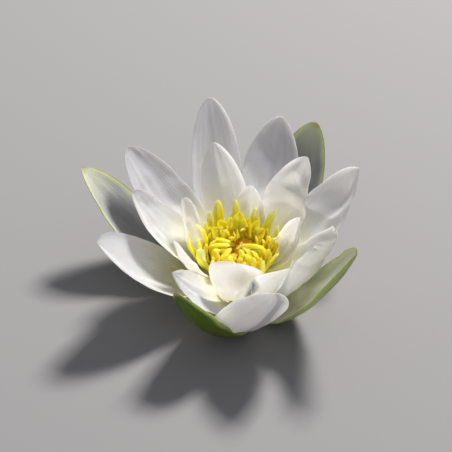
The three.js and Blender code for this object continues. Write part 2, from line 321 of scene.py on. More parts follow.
    # A stamen's two long pollen sacs swell side by side out of its inner face.
    sac_offset = abs(across) - SAC_PLACE
    sac = sac_offset.hump(SAC_SHARPNESS) * side.math("MAXIMUM", 0.0)
    skin = skin + sac * given("Sacs") * along.eased(0.36, 0.5) * (1.0 - along.eased(0.86, 0.97))
    reach_right = out - skin * bend.math("SINE")
    reach_up = lift + skin * bend.math("COSINE")
    place = rib + right.scaled(reach_right) + up.scaled(reach_up)
    place = place.scaled(MILLIMETRE) + arrow_of(tree, axis_x, axis_y, 0.0)

    def shape(kind, geometry, inputs, **settings):
        return grow_node(tree, kind, {0: geometry, **inputs}, **settings)

    blade = Reading(tree, cylinder.outputs["Mesh"])
    # Each point keeps where it is on the blade, for the finishes to read.
    kept = {
        "growth": ("FLOAT_VECTOR", arrow_of(tree, across, along, side)),
        "margin": ("FLOAT", half * (1.0 - abs(across))),
    }
    for name, (data_type, value) in kept.items():
        inputs = {"Name": name, "Value": value}
        blade = shape("GeometryNodeStoreNamedAttribute", blade, inputs, data_type=data_type)
    blade = shape("GeometryNodeSetPosition", blade, {"Position": place})
    blade = shape("GeometryNodeMergeByDistance", blade, {"Distance": WELD * MILLIMETRE})
    blade = shape("GeometryNodeSetShadeSmooth", blade, {})
    blade = shape("GeometryNodeRealizeInstances", blade, {})
    blade = shape("GeometryNodeSetMaterial", blade, {"Material": Reading(tree, entry.outputs["Finish"])})
    feed(tree, leave.inputs["Blade"], blade)
    return tree


blade_tree = make_blade_tree()
blade_sockets = {
    item.name: item.identifier
    for item in blade_tree.interface.items_tree
    if item.item_type == "SOCKET" and item.in_out == "INPUT"
}

# The heart's height and radius in millimetres, from its foot up: every blade starts on its skin.
HEART_PROFILE = [(1.9, 5.4), (3.0, 7.4), (5.5, 9.0), (9.5, 9.7), (13.0, 9.6), (15.8, 8.8)]
FOOT_DEPTH = 0.3


def heart_radius(height):
    """The heart's radius at a height, both in millimetres."""
    for (low, low_radius), (high, high_radius) in zip(HEART_PROFILE, HEART_PROFILE[1:]):
        if height <= high:
            return low_radius + (high_radius - low_radius) * (height - low) / (high - low)
    return HEART_PROFILE[-1][1]


def grow_blade(name, finish, sizes):
    """One blade as a plain mesh object, from sizes named as the tree's inputs are.

    Cup stands for Cup Base and Cup Tip together.
    """
    sizes = {"Seat Azimuth": sizes["Azimuth"], **sizes}
    if "Cup" in sizes:
        sizes["Cup Base"], sizes["Cup Tip"] = sizes.pop("Cup")
    # A blade's foot sinks a little way into the heart, as it grows out of it.
    sizes["Foot Radius"] = heart_radius(sizes["Seat"]) - FOOT_DEPTH
    seedling = add_object(name, bpy.data.meshes.new(name + "_seed"))
    growth = seedling.modifiers.new("growth", "NODES")
    growth.node_group = blade_tree
    growth[blade_sockets["Finish"]] = finish
    for key, value in sizes.items():
        kind = type(BLADE_INPUTS[key])
        growth[blade_sockets[key]] = kind(value)
    bpy.context.view_layer.update()
    graph = bpy.context.evaluated_depsgraph_get()
    grown = bpy.data.meshes.new_from_object(seedling.evaluated_get(graph))
    grown.name = name
    seedling.modifiers.remove(growth)
    seedling.data = grown
    return seedling


def new_finish(name):
    """A material with one Principled BSDF, and the readings every finish starts from."""
    finish = bpy.data.materials.new(name)
    finish.use_nodes = True
    tree = finish.node_tree
    skin = tree.nodes["Principled BSDF"]
    place = grow_node(tree, "ShaderNodeTexCoord", output="Object", arrow=True)
    return finish, tree, skin, place


def dress(tree, skin, inputs):
    """Feeds the skin's inputs, named as the shader names them, with readings or plain values."""
    for name, value in inputs.items():
        feed(tree, skin.inputs[name], value)


def growth_readings(tree):
    """Across, along and side of the blade, and the distance from its margin in millimetres."""
    where = grow_node(tree, "ShaderNodeAttribute", output="Vector", arrow=True, attribute_name="growth")
    margin = grow_node(tree, "ShaderNodeAttribute", output="Fac", attribute_name="margin")
    return (*where.split(), margin)


def tinted(tree, share, low, high):
    """A colour a share of the way from low to high."""
    inputs = {"Factor": share, 6: low, 7: high}
    return grow_node(tree, "ShaderNodeMix", inputs, output=2, data_type="RGBA")


def colour(red, green, blue):
    """An opaque colour from its three linear parts."""
    return (red, green, blue, 1.0)


def make_vein_group():
    """Fine veins that run from base to tip, close up at both ends, and wander a little."""
    tree = bpy.data.node_groups.new("veins", "ShaderNodeTree")
    for name, value in (("Across", 0.0), ("Along", 0.0), ("Lines", 9.0), ("Wander", 0.5), ("Width", 0.3)):
        socket = tree.interface.new_socket(name, in_out="INPUT", socket_type="NodeSocketFloat")
        socket.default_value = value
    tree.interface.new_socket("Veins", in_out="OUTPUT", socket_type="NodeSocketFloat")
    entry = tree.nodes.new("NodeGroupInput")
    leave = tree.nodes.new("NodeGroupOutput")
    across, along, lines, wander, width = (Reading(tree, socket) for socket in entry.outputs[:5])
    drift = blotches(tree, arrow_of(tree, across * 1.5, along * 3.0, 0.0), 2.0, 3.0) - 0.5
    place = across * lines + drift * wander
    vein = (abs(place.math("FRACT") - 0.5) * 2.0).eased(1.0 - width, 1.0)
    # A second, fainter set slants across the first, as side veins do.
    slant = across * lines * 0.55 + along * across.math("SIGN") * 2.2 + drift * wander * 1.6
    side_vein = (abs(slant.math("FRACT") - 0.5) * 2.0).eased(1.0 - width * 0.6, 1.0)
    feed(tree, leave.inputs["Veins"], vein.math("MAXIMUM", side_vein * 0.45))
    return tree


vein_group = make_vein_group()


def veins(tree, across, along, lines, wander, width):
    """How strong the veins are at a place on the blade, from 0 to 1."""
    inputs = {"Across": across, "Along": along, "Lines": lines, "Wander": wander, "Width": width}
    made = tree.nodes.new("ShaderNodeGroup")
    made.node_tree = vein_group
    for key, value in inputs.items():
        feed(tree, made.inputs[key], value)
    return Reading(tree, made.outputs["Veins"])


def raise_skin(tree, skin, height, distance):
    """Roughens the skin: where height is 1 it stands out by distance, in millimetres."""
    inputs = {"Height": height, "Distance": distance * MILLIMETRE}
    dress(tree, skin, {"Normal": grow_node(tree, "ShaderNodeBump", inputs, arrow=True)})


# These whites differ as painted light and shade: the first is darkened as painted shade for the outer
# petals, the second darker still as painted shade for two of them, and the last brightened as painted
# light inside the bowl.
PETAL_PAINTED_SHADE_WHITE = colour(0.72, 0.72, 0.735)
PETAL_PAINTED_DEEP_SHADE_WHITE = colour(0.58, 0.58, 0.61)
PETAL_WHITE = colour(0.94, 0.935, 0.925)
PETAL_PAINTED_LIGHT_WHITE = colour(0.96, 0.955, 0.935)
PETAL_CREAM = colour(0.95, 0.91, 0.66)
PETAL_BASE = colour(0.88, 0.8, 0.25)
# How bright a vein is beside the skin it runs in.
PETAL_VEIN_SHADE = 0.8
PETAL_BACK_GREEN = colour(0.62, 0.68, 0.4)
PETAL_BRUISE = colour(0.4, 0.27, 0.1)
# The grey of a painted shadow on one petal.
PETAL_PAINTED_SHADOW = colour(0.34, 0.36, 0.4)


def make_petal_finish(name, white, cream_reach, glow, painted_shadow=0.0):
    """cream_reach is how far up the blade the cream of its foot carries.

    glow is how far light wanders inside the flesh, in millimetres. The last argument is how strongly
    a patch beside the midrib is greyed, as a painted shadow.
    """
    finish, tree, skin, place = new_finish(name)
    across, along, side, margin = growth_readings(tree)
    warm = blotches(tree, place, 60.0, 3.0)
    reach = along + (warm - 0.5) * 0.2
    tone = tinted(tree, reach.eased(0.05, cream_reach * 0.55), PETAL_BASE, PETAL_CREAM)
    tone = tinted(tree, reach.eased(cream_reach * 0.4, cream_reach), tone, white)
    # Outside, a green flush climbs the midrib from the heart.
    flush = (1.0 - reach.eased(0.15, 0.55)) * (1.0 - abs(across).eased(0.1, 0.8))
    tone = tinted(tree, flush * (1.0 - side.eased(-0.3, 0.1)) * 0.7, tone, PETAL_BACK_GREEN)
    lines = veins(tree, across, along, 11.0, 0.7, 0.35)
    vein = colour(*(part * PETAL_VEIN_SHADE for part in white[:3]))
    tone = tinted(tree, lines * 0.13, tone, vein)
    # A grey patch beside the midrib: a painted shadow.
    if painted_shadow:
        patch = (across + warm * 0.4).eased(0.36, 0.44) * (1.0 - across.eased(0.5, 0.85))
        tone = tinted(tree, patch * along.eased(0.35, 0.5) * painted_shadow, tone, PETAL_PAINTED_SHADOW)
    # Small bruises near the margins and at the tip, where petals rub as they open.
    rubbed = (1.0 - margin.eased(0.3, 2.0)) * blotches(tree, place, 420.0, 2.0).eased(0.68, 0.78)
    tip = along.eased(0.962, 0.99) * blotches(tree, place, 260.0, 2.0).eased(0.35, 0.6)
    tone = tinted(tree, rubbed.math("MAXIMUM", tip) * 0.55, tone, PETAL_BRUISE)
    grain = blotches(tree, place, 2600.0, 2.0)
    raise_skin(tree, skin, lines * 0.45 + grain * 0.35, 0.09)
    dress(tree, skin, {
        "Base Color": tone,
        "Roughness": between(0.36, 0.52, blotches(tree, place, 900.0, 2.0)),
        "Subsurface Weight": 0.9,
        "Subsurface Radius": (1.0, 0.96, 0.86),
        "Subsurface Scale": glow * MILLIMETRE,
        "Sheen Weight": 0.06,
        "Specular IOR Level": 0.4,
    })
    return finish


# Lighter and darker copies of one petal flesh, as painted light and shade: the outer copy is darkened as
# painted shade, the inner copy brightened as painted light, and the last two are painted shade and a
# painted shadow.
petal_finishes = {
    "outer": make_petal_finish("petal_outer_skin", PETAL_PAINTED_SHADE_WHITE, cream_reach=0.55, glow=3.2),
    "middle": make_petal_finish("petal_middle_skin", PETAL_WHITE, cream_reach=0.75, glow=6.0),
    "inner": make_petal_finish("petal_inner_skin", PETAL_PAINTED_LIGHT_WHITE, cream_reach=0.85, glow=8.0),
    # A grey copy of the outer flesh, as painted shade.
    "painted_shade": make_petal_finish(
        "petal_painted_shade_skin", PETAL_PAINTED_DEEP_SHADE_WHITE, cream_reach=0.55, glow=2.6
    ),
    "painted_shadow": make_petal_finish(
        "petal_painted_shadow_skin", PETAL_PAINTED_SHADE_WHITE, cream_reach=0.55, glow=2.6, painted_shadow=0.6
    ),
}
# These petals don't wear their own whorl's finish: their whites are painted light and shade. Two outer
# ones wear a grey white as painted shade, the broad left and middle back ones a lighter white as
# painted light, the inner front one a darker white as painted shade, and the front one a painted shadow.
PETAL_LIGHT_AND_SHADE_SKINS = {
    "petal_outer_back_right": "painted_shade",
    "petal_outer_left_back": "painted_shade",
    "petal_outer_front": "painted_shadow",
    "petal_outer_left": "middle",
    "petal_middle_back": "inner",
    "petal_inner_front": "middle",
}

PETAL_KINDS = {
    "outer": {
        "Seat": 5.0, "Thickness": 1.1, "Base Share": 0.28, "Widest": 0.55, "Bluntness": 0.62,
        "Start Rise": 0, "End Rise": 58, "Start Pull": 0.36, "End Pull": 0.34,
    },
    "middle": {
        "Seat": 9.0, "Thickness": 1.0, "Base Share": 0.32, "Widest": 0.55, "Bluntness": 0.65,
        "Start Rise": 10, "End Rise": 70, "Start Pull": 0.3, "End Pull": 0.38, "Cup": (34, 36),
    },
    "inner": {
        "Seat": 10.8, "Thickness": 0.9, "Base Share": 0.4, "Widest": 0.55, "Bluntness": 0.7,
        "Start Rise": 4, "End Rise": 78, "Start Pull": 0.3, "End Pull": 0.45, "Cup": (34, 38),
    },
}

# Each petal's azimuth, seat azimuth, reach, height and width, and what else sets it apart.
PETALS = {
    "petal_outer_back": (101, 105, 54.5, 46.4, 20, {
        "Bluntness": 0.56, "Start Rise": -6, "Keel": 0.7, "Furrows": 0.5,
    }),
    "petal_outer_back_right": (73, 67, 54, 39.4, 22.5, {
        "Seat": 7.2, "Start Rise": 10, "Keel": 0.3, "Waves": 1.9, "Dents": 1.8, "Dimple": 1.6,
        "Dimple Along": 0.66, "Dimple Across": 0.4,
    }),
    "petal_outer_left_back": (141.5, 134, 51, 39.4, 23.5, {
        "Seat": 6.9, "Bluntness": 0.52, "Start Rise": 6, "Roll": 8, "Waves": 2.0,
    }),
    "petal_outer_right": (27, 28, 48.5, 37.4, 23.5, {
        "Start Rise": -2, "Waves": 1.9, "Dents": 1.2, "Dimple": 2.6, "Dimple Along": 0.78,
        "Dimple Across": 0.1,
    }),
    "petal_outer_left": (204, 200, 52.5, 38.4, 29, {
        "Seat": 5.4, "Base Share": 0.4, "Widest": 0.48, "Start Rise": 2, "Cup": (46, 34),
        "Roll": -14,
    }),
    "petal_outer_front": (284, 254, 49.5, 38, 21, {
        "Base Share": 0.26, "Widest": 0.66, "Bluntness": 0.9, "Start Rise": -8, "End Rise": 72,
        "Start Pull": 0.6, "Cup": (44, 44), "Lean": 4, "Roll": -15, "Waves": 1.2, "Dimple": -2.6,
        "Dimple Along": 0.74, "Dimple Across": 0.5,
    }),
    "petal_outer_front_left": (239, 255, 43.3, 37.8, 19.5, {
        "Seat": 8.5, "Base Share": 0.24, "Widest": 0.36, "Bluntness": 1, "Start Rise": 1,
        "End Rise": 60, "Start Pull": 0.33, "Cup": (17, 13), "Lean": -24, "Roll": -34, "Keel": 0.9,
    }),
    "petal_outer_front_right": (329, 330, 38.6, 39.1, 31, {
        "Seat": 6.4, "Widest": 0.46, "Bluntness": 0.46, "Start Rise": -6, "End Rise": 70,
        "Cup": (44, 58), "Lean": 21, "Roll": -25, "Dents": 0.9, "Torn": 0.33,
    }),
    "petal_middle_back": (105, 94, 33.5, 41.4, 18, {}),
    "petal_middle_left": (172, 172, 37.5, 39.4, 21, {
        "Seat": 8.6, "Bluntness": 0.52, "Start Rise": 20, "Start Pull": 0.24, "Waves": 2.2,
    }),
    "petal_middle_right": (40, 40, 32, 43.4, 22, {
        "Waves": 1.6, "Dents": 1.6, "Dimple": 1.6, "Dimple Along": 0.72, "Dimple Across": 0.35,
    }),
    "petal_middle_front_right": (304, 285, 31.6, 30.8, 18.6, {
        "Seat": 8.5, "Widest": 0.72, "Bluntness": 0.9, "Start Rise": -14, "End Rise": 48,
        "Start Pull": 0.6, "Cup": (34, 50), "Lean": -5, "Roll": 15, "Waves": 0.7,
    }),
    "petal_inner_front": (268.5, 260, 26.3, 33, 20.2, {
        "Seat": 10.4, "Base Share": 0.14, "Widest": 0.8, "Taper": 2.4, "Bluntness": 0.8,
        "Start Rise": -8, "End Rise": 90, "Start Pull": 0.66, "End Pull": 0.36, "Cup": (52, 34),
        "Waves": 1.6, "Keel": 0.0, "Slant": 2.6, "Notch": 0.6, "Dimple": -3.2, "Dimple Along": 0.84,
        "Dimple Across": 0.3,
    }),
    "petal_inner_left": (154, 178, 22, 33.4, 14, {"Bluntness": 0.55, "Waves": 1.5}),
    "petal_inner_front_left": (207, 220, 25, 31.4, 11, {}),
    "petal_inner_right": (356, 356, 21.5, 33.4, 12, {"Roll": 40}),
    "petal_inner_back": (77.5, 77.5, 21.5, 30.4, 13.5, {"Bluntness": 0.55}),
}

# Each petal's waves and dents start from a seed of its own, this far from the last one's.
PETAL_SEED_STEP = 3.7


def sizes_by_name(kind_sizes, seed, azimuth, seat_azimuth, reach, height, width, own):
    """One blade's sizes: its kind's, the five that every blade has, and its own."""
    five = {"Azimuth": azimuth, "Seat Azimuth": seat_azimuth, "Reach": reach, "Height": height}
    return {**kind_sizes, "Seed": seed, **five, "Width": width, **own}


for i, (name, sizes) in enumerate(PETALS.items()):
    kind = name.split("_")[1]
    sizes = sizes_by_name(PETAL_KINDS[kind], i * PETAL_SEED_STEP, *sizes)
    petal = grow_blade(name + "_blade", petal_finishes[PETAL_LIGHT_AND_SHADE_SKINS.get(name, kind)], sizes)
    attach(petal, "root")
    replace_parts(petal, name)

# ---------- Sepals ----------
# Four leathery outer blades that grow from the heart's foot: green outside, white with green
# margins inside. They sheathed the bud, and now their bellies rest on the surface below.
SEPAL_OUTSIDE = colour(0.12, 0.2, 0.002)
SEPAL_DEEP = colour(0.085, 0.07, 0.02)
SEPAL_EDGE = colour(0.48, 0.54, 0.19)
SEPAL_RIM = colour(0.76, 0.79, 0.56)
SEPAL_INSIDE = colour(0.8, 0.81, 0.76)
# These three inner tones are painted: the first two darker as painted shade, the third brighter as
# painted light, each for one sepal.
SEPAL_PAINTED_SHADE_INSIDE = colour(0.42, 0.42, 0.44)
SEPAL_SHADED = colour(0.3, 0.3, 0.31)
SEPAL_PAINTED_LIGHT_INSIDE = colour(0.9, 0.92, 0.72)
SEPAL_VEIN = colour(0.52, 0.57, 0.36)
SEPAL_TIP = colour(0.42, 0.36, 0.12)


def make_sepal_finish(name, blade_inside, edge_width):
    """blade_inside is the inner face's tone, and edge_width the pale edge's, in millimetres."""
    finish, tree, skin, place = new_finish(name)
    across, along, side, margin = growth_readings(tree)
    warm = blotches(tree, place, 90.0, 3.0)
    ragged = margin + (warm - 0.5) * 3.0
    lines = veins(tree, across, along, 9.0, 0.5, 0.3)
    outside = tinted(tree, lines * 0.1 + warm.eased(0.4, 0.8) * 0.1, SEPAL_OUTSIDE, SEPAL_EDGE)
    # A darker, faintly purplish band follows the midrib on the lower half.
    band = across.hump(9.0) * (1.0 - along.eased(0.3, 0.9))
    outside = tinted(tree, band * warm.eased(0.3, 0.7) * 0.55, outside, SEPAL_DEEP)
    pale = (1.0 - ragged.eased(0.4, edge_width)) * along.eased(0.2, 0.6)
    outside = tinted(tree, pale, outside, SEPAL_EDGE)
    # Inside it is nearly white, greener towards the margins and the tip.
    inside = tinted(tree, lines * 0.22, blade_inside, SEPAL_VEIN)
    inside = tinted(tree, (1.0 - ragged.eased(0.8, 2.5 + edge_width * 0.5)) * 0.75, inside, SEPAL_RIM)
    inside = tinted(tree, along.eased(0.72, 1.0) * 0.7, inside, SEPAL_RIM)
    tone = tinted(tree, side.eased(-0.3, 0.1), outside, inside)
    tone = tinted(tree, (1.0 - margin.eased(0.25, 0.8)) * 0.85, tone, SEPAL_EDGE)
    tone = tinted(tree, along.eased(0.955, 0.99) * warm.eased(0.3, 0.6) * 0.8, tone, SEPAL_TIP)
    grain = blotches(tree, place, 2200.0, 2.0)
    raise_skin(tree, skin, lines * 0.6 + grain * 0.4, 0.1)
    dress(tree, skin, {
        "Base Color": tone,
        "Roughness": between(0.34, 0.5, blotches(tree, place, 900.0, 2.0)),
        "Specular IOR Level": 0.3,
        "Subsurface Weight": 0.5,
        "Subsurface Radius": (0.8, 1.0, 0.5),
        "Subsurface Scale": 1.6 * MILLIMETRE,
    })
    return finish


# Each sepal's inner face is toned apart as painted light and shade: the left one's is darkened as painted
# shade, the back one's darker still as painted shade, and the right one's brightened as painted light,
# beside a wider pale rim.
sepal_finishes = {
    "sepal_right": make_sepal_finish("sepal_pale_rim_painted_light_skin", SEPAL_PAINTED_LIGHT_INSIDE, edge_width=11.0),
    "sepal_front": make_sepal_finish("sepal_green_skin", SEPAL_INSIDE, edge_width=2.2),
    "sepal_back": make_sepal_finish("sepal_shaded_skin", SEPAL_SHADED, edge_width=1.6),
    "sepal_left": make_sepal_finish("sepal_painted_shade_skin", SEPAL_PAINTED_SHADE_INSIDE, edge_width=2.2),
}
SEPAL_KIND = {
    "Seat": 2.9, "Thickness": 1.4, "Base Share": 0.42, "Widest": 0.5, "Bluntness": 0.6,
    "Start Rise": -14, "End Rise": 54, "Start Pull": 0.42, "End Pull": 0.34,
    "Cup": (30, 30), "Waves": 0.7,
}
# The same five sizes as the petals', and what else sets each sepal apart.
SEPALS = {
    "sepal_left": (156, 156, 61.5, 35.9, 26, {"End Rise": 48, "Roll": 8}),
    "sepal_back": (62.5, 62.5, 62.5, 34.9, 25, {}),
    "sepal_right": (317.5, 317.5, 53, 46.0, 25, {
        "Base Share": 0.34, "Widest": 0.48, "Bluntness": 0.58, "Start Rise": -16, "End Rise": 64,
        "Start Pull": 0.36, "Cup": (38, 32), "Lean": 15, "Roll": 5,
    }),
    "sepal_front": (246, 278, 46, 31.6, 18.4, {
        "Base Share": 0.22, "Widest": 0.8, "Start Rise": -16, "End Rise": 76, "Start Pull": 0.54,
        "End Pull": 0.45, "Cup": (50, 24), "Lean": -5, "Roll": -14,
    }),
}

SEPAL_FIRST_SEED = 71
SEPAL_SEED_STEP = 5.3

for i, (name, sizes) in enumerate(SEPALS.items()):
    sizes = sizes_by_name(SEPAL_KIND, SEPAL_FIRST_SEED + i * SEPAL_SEED_STEP, *sizes)
    sepal = grow_blade(name + "_blade", sepal_finishes[name], sizes)
    # It is let down until its belly rests on the surface.
    lowest = min(vertex.co.z for vertex in sepal.data.vertices)
    sepal.data.transform(Matrix.Translation((0, 0, -lowest)))
    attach(sepal, "root")
    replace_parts(sepal, name)

# ---------- Stamens ----------
# Narrow yellow blades in rings on the heart's shoulder. The outer ones are flat and pale and end
# in a slender finger, the middle ones lean in, and the inner ones arch over the stigma.
STAMEN_PALE = colour(0.94, 0.93, 0.42)
STAMEN_YELLOW = colour(0.96, 0.88, 0.09)
STAMEN_GOLD = colour(0.96, 0.68, 0.003)
# The amber of shaded gold, painted on the stamens' lower parts as painted shade.
STAMEN_SHADE_AMBER = colour(0.97, 0.6, 0.002)
STAMEN_RUST = colour(0.5, 0.24, 0.003)


def make_stamen_finish(name, youth, paleness, glow):
    """youth turns lemon yellow to gold, and paleness bleaches the stalk and the tip.

    glow is how far light wanders inside the flesh, in millimetres.
    """
    finish, tree, skin, place = new_finish(name)
    across, along, side, _ = growth_readings(tree)
    warm = blotches(tree, place, 420.0, 3.0)
    pale_tip = (along + (warm - 0.5) * 0.3).eased(0.7, 1.0) * paleness
    tone = tinted(tree, pale_tip, STAMEN_YELLOW, STAMEN_PALE)
    tone = tinted(tree, (1.0 - along.eased(0.0, 0.45)) * 0.7 * paleness, tone, STAMEN_PALE)
    golden = ((warm - 0.5) * 1.4 + youth).clamped()
    # Towards each stamen's foot, deep between the blades, the gold turns amber: painted shade.
    shaded_gold = tinted(tree, along.eased(0.35, 0.9), STAMEN_SHADE_AMBER, STAMEN_GOLD)
    tone = tinted(tree, golden, tone, shaded_gold)
    # The seam between the pollen sacs, and freckles of old pollen, are darker.
    seam = across.hump(60.0) * side.eased(0.2, 0.7) * along.eased(0.3, 0.6)
    freckle = blotches(tree, place, 1500.0, 2.0).eased(0.68, 0.76)
    tone = tinted(tree, seam.math("MAXIMUM", freckle) * 0.5 * youth, tone, STAMEN_RUST)
    pollen = blotches(tree, place, 3200.0, 3.0)
    raise_skin(tree, skin, pollen + seam * -0.6, 0.1)
    dress(tree, skin, {
        "Base Color": tone,
        "Roughness": between(0.4, 0.65, warm),
        "Subsurface Weight": 0.85,
        "Subsurface Radius": (1.0, 0.85, 0.1),
        "Subsurface Scale": glow * MILLIMETRE,
        "Specular IOR Level": 0.15,
    })
    return finish


lemon_finish = make_stamen_finish("stamen_lemon", youth=0.02, paleness=1.0, glow=2.6)
golden_finish = make_stamen_finish("stamen_golden", youth=0.62, paleness=0.7, glow=3.2)
deep_finish = make_stamen_finish("stamen_deep_gold", youth=0.85, paleness=0.0, glow=6.0)
STAMEN_KINDS = {
    "outer": {
        "Thickness": 0.9, "Seat": 12.2, "Width": 5.6, "Base Share": 0.85, "Widest": 0.12,
        "Bluntness": 0.3, "Finger": 0.45, "Start Rise": 12, "End Rise": 84, "Cup": (34, 50),
        "Start Pull": 0.3, "End Pull": 0.5, "Sacs": 0.35,
    },
    "middle": {
        "Thickness": 1.1, "Seat": 13.6, "Width": 5.0, "Base Share": 0.8, "Widest": 0.4,
        "Bluntness": 0.4, "Finger": 0.3, "Start Rise": 38, "End Rise": 108, "Cup": (30, 40),
        "Start Pull": 0.4, "End Pull": 0.4, "Sacs": 0.45,
    },
    "inner": {
        "Thickness": 1.3, "Seat": 14.9, "Width": 3.8, "Base Share": 0.8, "Widest": 0.5,
        "Bluntness": 0.36, "Finger": 0.25, "Start Rise": 62, "End Rise": 196, "Cup": (24, 30),
        "Start Pull": 0.75, "End Pull": 0.6, "Sacs": 0.4,
    },
}
# What all stamens share: a coarser mesh than a petal's, and a plainer skin.
STAMEN_GRAIN = {
    "Rows": 36, "Around": 28, "Keel": 0.15, "Waves": 0.9, "Furrows": 0.15, "Dents": 0.0,
    "Lip": 0.0, "Tip Thickness": 0.85, "Edge": 0.9,
}

# The outer ring's stamens: azimuth, reach, height, and what sets some of them apart.
OUTER_STAMENS = [
    (0, 14.4, 23.4, {"End Rise": 20, "Finger": 0.6}),
    (20, 15.2, 24.4, {"Width": 5.0}),
    (40, 17.4, 26.9, {"Start Rise": 34, "End Rise": 40, "Width": 6.0, "Finger": 0.3, "Roll": 35}),
    (63, 14.4, 26.4, {"Notch": 1.8, "Finger": 0.25, "Bluntness": 0.22, "End Rise": 60}),
    (93, 16.0, 27.9, {"Width": 8.0, "Finger": 0.58, "Bluntness": 0.2}),
    (116, 16.8, 28.4, {"Width": 5.2, "Widest": 0.66, "Finger": 0.1, "Bluntness": 0.4, "End Rise": 96}),
    (134, 15.2, 26.4, {"Width": 6.0, "Notch": 1.6, "Finger": 0.3, "Bluntness": 0.24}),
    (150, 14.0, 24.4, {"Width": 5.4, "Finger": 0.25}),
    (167, 15.6, 26.4, {"Width": 6.8, "End Rise": 36, "Finger": 0.5}),
    (186, 14.2, 23.4, {"Finger": 0.1}),
    (206, 13.8, 22.8, {"Width": 8.4, "Widest": 0.6, "Finger": 0, "Bluntness": 0.36, "End Rise": 150}),
    (232, 14.4, 22.4, {"End Rise": 110}),
    (258, 14.0, 21.4, {}),
    (283, 13.8, 21.9, {"End Rise": 110}),
    (306, 14.6, 22.4, {"Width": 5.8, "End Rise": 100}),
    (333, 16.0, 21.9, {"End Rise": 45, "Finger": 0.5}),
]
# The two rings inside it: count, start, reach, height, and how far reach and height wander.
STAMEN_RINGS = {"middle": (10, 0.25, 10.6, 22.4, 1.2), "inner": (10, 0.75, 5.0, 20.1, 1.5)}
# At the back of the bloom the inner stamens lean over the stigma's rim, then bend back out. These
# are added there, the last three as shares of the stamen's own size.
BACK_REACH = 4.0
BACK_HEIGHT = 2.2
BACK_START_RISE = 62
BACK_END_RISE = -146
BACK_WIDTH = 0.6
BACK_THICKNESS = -0.4
BACK_SACS = -1


def ring_places(kind, count, start, reach, height, wander):
    """Evenly spaced stamens whose reach, height, turn and slope wander round the ring."""
    chance = random.Random(kind + str(count))
    usual = STAMEN_KINDS[kind]
    places = []
    for i in range(count):
        azimuth = 360 * (i + start) / count
        back = max(0.0, math.sin(math.radians(azimuth))) ** 0.5 if kind == "inner" else 0.0
        own = {
            "Seat Azimuth": azimuth + chance.uniform(-9, 9),
            "Roll": chance.uniform(-45, 45),
            "Lean": chance.uniform(-15, 15),
            "Start Rise": usual["Start Rise"] + BACK_START_RISE * back,
            "End Rise": usual["End Rise"] + BACK_END_RISE * back + chance.uniform(-14, 14),
            "Width": usual["Width"] * (chance.uniform(0.75, 1.1) + BACK_WIDTH * back),
            "Thickness": usual["Thickness"] * (1 + BACK_THICKNESS * back),
            "Sacs": usual["Sacs"] * (1 + BACK_SACS * back),
        }
        out = reach + BACK_REACH * back + wander * chance.uniform(-1, 1)
        rise = height + BACK_HEIGHT * back + wander * chance.uniform(-1, 1)
        places.append((azimuth, out, rise, own))
    return places


stamen_places = {"outer": OUTER_STAMENS}
for kind, ring in STAMEN_RINGS.items():
    stamen_places[kind] = ring_places(kind, *ring)


def grow_stamen(name, kind, place, seed, finish=None):
    """place is the stamen's azimuth, reach and height, and the sizes that set it apart."""
    azimuth, reach, height, own = place
    sizes = {**STAMEN_KINDS[kind], **STAMEN_GRAIN, "Seed": seed, "Azimuth": azimuth}
    sizes.update({"Reach": reach, "Height": height, **own})
    finish = finish or (lemon_finish if kind == "outer" else golden_finish)
    stamen = grow_blade(name, finish, sizes)
    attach(stamen, "root")
    return stamen


STAMEN_FIRST_SEED = 200
STAMEN_SEED_STEP = 2.9
for kind, places in stamen_places.items():
    for i, place in enumerate(places):
        name = f"stamen_{kind}_{i + 1:02d}"
        seed = STAMEN_FIRST_SEED + i * STAMEN_SEED_STEP
        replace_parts(grow_stamen(name + "_blade", kind, place, seed), name)

# Young stamens fill the spaces between the rings: pale flat ones in the outer ring, a wall just
# inside it, arched ones, a broad wall at the back, a tuft folded over the stigma, and thin curled
# ones. They stand for no node of the frame.
BACK_BLADE = {
    "Seat": 14.9, "Width": 6.4, "Base Share": 0.7, "Widest": 0.5, "Finger": 0.2, "Thickness": 0.8,
    "Bluntness": 0.55, "Sacs": 0, "Start Rise": 122, "Start Pull": 0.8, "End Rise": 46,
    "Cup": (24, 30),
}
CURLED_BLADE = {
    "Width": 2.2, "Finger": 0.2, "Thickness": 0.8, "Sacs": 0, "Start Rise": 112, "End Rise": 75,
    "Roll": 60,
}
